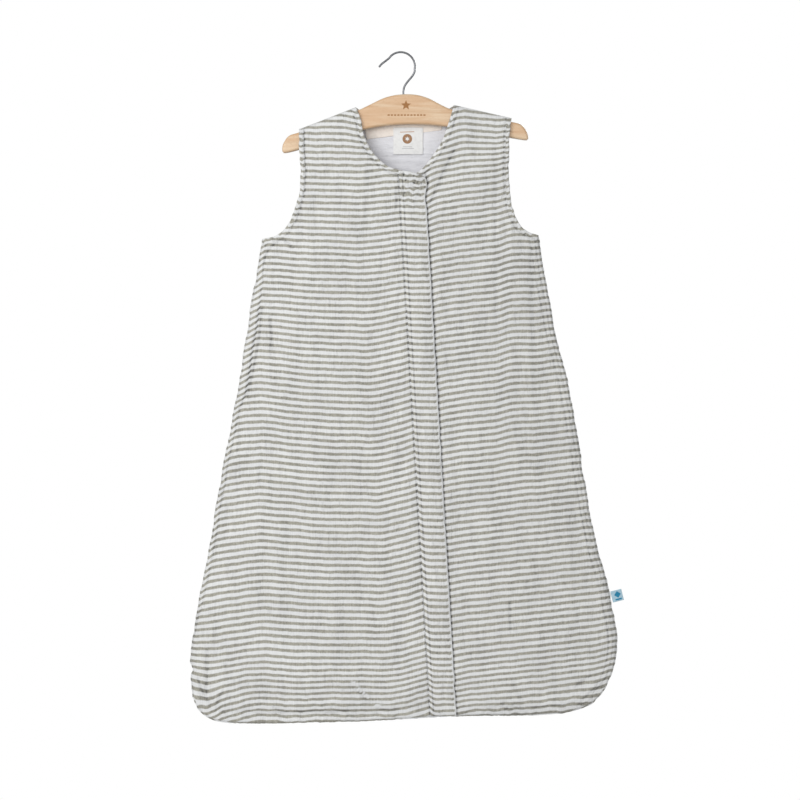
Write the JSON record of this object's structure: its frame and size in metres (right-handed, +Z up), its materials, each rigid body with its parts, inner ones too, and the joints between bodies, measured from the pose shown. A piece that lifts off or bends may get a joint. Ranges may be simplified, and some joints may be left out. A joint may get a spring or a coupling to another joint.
{
  "type": "baby sleeping bag",
  "caption": "Sleeveless striped muslin sleep sack with a covered front zipper and a snap flap, hung on a small wooden hanger with a swivelling wire hook.",
  "frame": {"origin": "inside of the hook's crown, where a rail carries the hanger", "axes": "+Z up along the hanging bag, front of the bag towards -Y, +X to the right of someone facing the front"},
  "size_m": [0.5198, 0.0324, 0.8066],
  "materials": {
    "striped_muslin": "cool white double gauze with warm grey stripes",
    "muslin_lining": "plain white double gauze",
    "facing_tape": "pinkish beige cotton tape",
    "satin_label": "white satin",
    "blue_tab": "light blue woven ribbon",
    "zipper_tape": "white woven tape",
    "zipper_teeth": "white coil",
    "zipper_metal": "nickel",
    "snap_metal": "nickel",
    "beech": "clear satin lacquer",
    "hook_chrome": "polished"
  },
  "bodies": {
    "bag": {"back_outer": "striped_muslin", "front_left_outer": "striped_muslin", "front_right_outer": "striped_muslin", "placket_foot": "striped_muslin", "shoulder_seam_left": "striped_muslin", "shoulder_seam_right": "striped_muslin", "armhole_hem_front_left": "striped_muslin", "armhole_hem_front_right": "striped_muslin", "armhole_hem_back_left": "striped_muslin", "armhole_hem_back_right": "striped_muslin", "neck_hem_left": "striped_muslin", "neck_hem_right": "striped_muslin", "neck_hem_back": "striped_muslin", "side_seam_left": "striped_muslin", "side_seam_right": "striped_muslin", "bottom_seam": "striped_muslin", "back_lining": "muslin_lining", "front_left_lining": "muslin_lining", "front_right_lining": "muslin_lining", "neck_facing": "facing_tape", "neck_label": "satin_label", "side_tab": "blue_tab", "zipper_tape_left": "zipper_tape", "zipper_tape_right": "zipper_tape", "zipper_teeth_left": "zipper_teeth", "zipper_teeth_right": "zipper_teeth", "zipper_top_stop_left": "zipper_metal", "zipper_top_stop_right": "zipper_metal", "zipper_bottom_stop": "zipper_metal", "snap_stud": "snap_metal", "hanger_body": "beech"},
    "hook": {"hook": "hook_chrome", "hook_washer": "zipper_metal"},
    "flap": {"flap_outer": "striped_muslin", "flap_facing": "striped_muslin", "snap_socket": "snap_metal"},
    "slider": {"zipper_slider": "zipper_metal"},
    "pull": {"zipper_pull": "zipper_metal"}
  },
  "joints": [
    {"name": "hook_swivel", "type": "hinge", "parent": "bag", "child": "hook", "pos_m": [0.0036, 0, -0.0795], "axis": [0, 0, 1], "continuous": true},
    {"name": "flap_fold", "type": "hinge", "parent": "bag", "child": "flap", "pos_m": [-0.0026, -0.01625, -0.15], "axis": [0.0584, 0, -0.9983], "range_deg": [0, 150], "deforming": ["flap_outer", "flap_facing"]},
    {"name": "zipper_slide", "type": "slide", "parent": "bag", "child": "slider", "axis": [0.0584, 0, -0.9983], "range_m": [0, 0.506], "deforming": ["zipper_teeth_left", "zipper_teeth_right"]},
    {"name": "pull_swing", "type": "hinge", "parent": "slider", "child": "pull", "pos_m": [0.01132, -0.01605, -0.2], "axis": [-1, 0, 0], "range_deg": [0, 170]}
  ]
}
